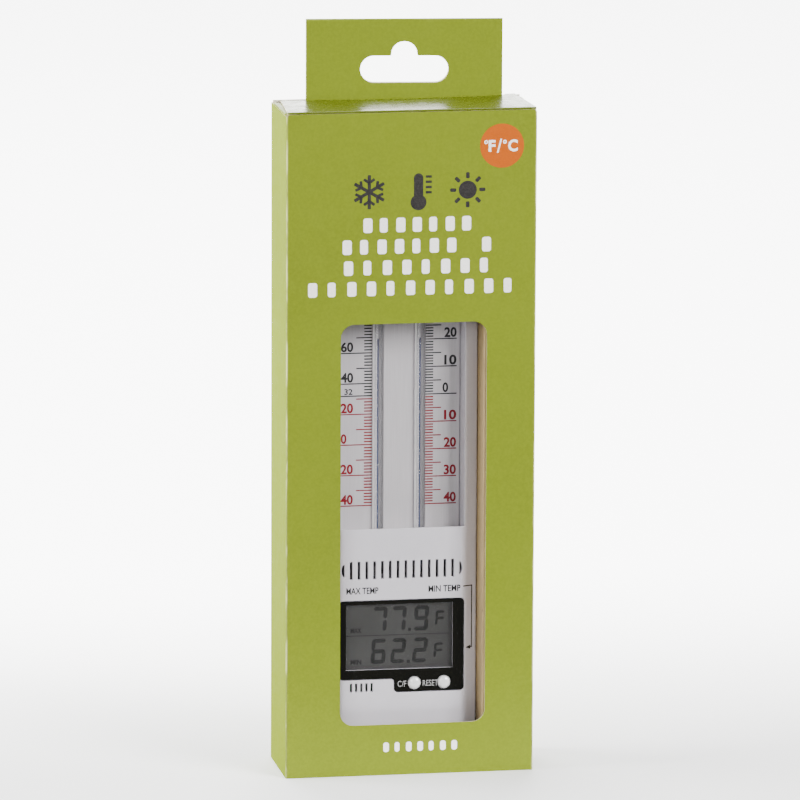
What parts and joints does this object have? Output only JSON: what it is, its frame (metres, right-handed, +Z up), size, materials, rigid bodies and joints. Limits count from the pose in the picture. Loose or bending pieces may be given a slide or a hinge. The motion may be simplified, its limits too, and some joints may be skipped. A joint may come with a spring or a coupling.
{
  "type": "maximum minimum thermometer",
  "caption": "Two-tube spirit thermometer with a digital maximum and minimum display, standing in a board window carton with a hang tab.",
  "frame": {"origin": "middle of the carton's footprint, on the surface it stands on", "axes": "+X to the right seen from the front, +Y from the windowed front to the back, +Z up to the hang tab"},
  "size_m": [0.091, 0.035, 0.2725],
  "materials": {
    "printed_board": "printed, satin",
    "lid_board": "printed, satin",
    "kraft_board": "uncoated",
    "case_plastic": "silver grey, satin",
    "scale_plate": "printed, satin",
    "tube_glass": "polished",
    "spirit": "dark blue liquid",
    "black_print": "gloss",
    "clear_lens": "clear acrylic",
    "display_glass": "liquid crystal display",
    "zebra_rubber": "matt",
    "circuit_board": "solder resist",
    "epoxy": "gloss",
    "button_plastic": "satin",
    "steel": "plated"
  },
  "bodies": {
    "carton": {"carton_sleeve": "printed_board", "carton_bottom": "printed_board", "hang_tab": "printed_board", "carton_insert": "kraft_board"},
    "lid": {"carton_lid": "lid_board"},
    "tuck_flap": {"lid_tuck_flap": "lid_board"},
    "left_dust_flap": {"dust_flap_left": "lid_board"},
    "right_dust_flap": {"dust_flap_right": "lid_board"},
    "thermometer": {"front_case": "case_plastic", "back_case": "case_plastic", "scale_plate": "scale_plate", "glass_tube_left": "tube_glass", "glass_tube_right": "tube_glass", "spirit_thread_left": "spirit", "spirit_thread_right": "spirit", "tube_bridge": "case_plastic", "display_mask": "black_print", "display_lens": "clear_lens", "lcd_glass": "display_glass", "zebra_strip": "zebra_rubber", "circuit_board": "circuit_board", "controller_chip": "epoxy", "temperature_sensor": "epoxy", "unit_switch": "steel", "reset_switch": "steel", "battery": "steel", "battery_contact_positive": "steel", "battery_contact_negative": "steel", "case_screw_lower_left": "steel", "case_screw_lower_right": "steel", "case_screw_upper_left": "steel", "case_screw_upper_right": "steel", "board_screw_left": "steel", "board_screw_right": "steel"},
    "unit_button": {"unit_button": "button_plastic"},
    "reset_button": {"reset_button": "button_plastic"},
    "battery_cover": {"battery_cover": "case_plastic"}
  },
  "joints": [
    {"name": "thermometer_slide", "type": "slide", "parent": "carton", "child": "thermometer", "axis": [0, 0, 1], "range_m": [0, 0.178]},
    {"name": "lid_fold", "type": "hinge", "parent": "carton", "child": "lid", "pos_m": [0, -0.0176, 0.2439], "axis": [1, 0, 0], "range_deg": [0, 250]},
    {"name": "tuck_fold", "type": "hinge", "parent": "lid", "child": "tuck_flap", "pos_m": [0, 0.01485, 0.2432], "axis": [1, 0, 0], "range_deg": [-83, 0]},
    {"name": "left_dust_flap_fold", "type": "hinge", "parent": "carton", "child": "left_dust_flap", "pos_m": [-0.04555, 0, 0.2431], "axis": [0, -1, 0], "range_deg": [0, 125]},
    {"name": "right_dust_flap_fold", "type": "hinge", "parent": "carton", "child": "right_dust_flap", "pos_m": [0.04555, 0, 0.2431], "axis": [0, 1, 0], "range_deg": [0, 125]},
    {"name": "unit_button_press", "type": "slide", "parent": "thermometer", "child": "unit_button", "axis": [0, 1, 0], "range_m": [0, 0.0006], "stiffness_N_per_m": 600},
    {"name": "reset_button_press", "type": "slide", "parent": "thermometer", "child": "reset_button", "axis": [0, 1, 0], "range_m": [0, 0.0006], "stiffness_N_per_m": 600},
    {"name": "battery_cover_turn", "type": "hinge", "parent": "thermometer", "child": "battery_cover", "pos_m": [-0.0015, 0.0135, 0.044], "axis": [0, 1, 0], "range_deg": [0, 45]}
  ],
  "couplings": [
    {"joint": "lid_fold", "follows": "thermometer_slide", "rad_per_m": 24.5},
    {"joint": "tuck_fold", "follows": "thermometer_slide", "rad_per_m": -8.1},
    {"joint": "left_dust_flap_fold", "follows": "thermometer_slide", "rad_per_m": 12.25},
    {"joint": "right_dust_flap_fold", "follows": "thermometer_slide", "rad_per_m": 12.25}
  ]
}
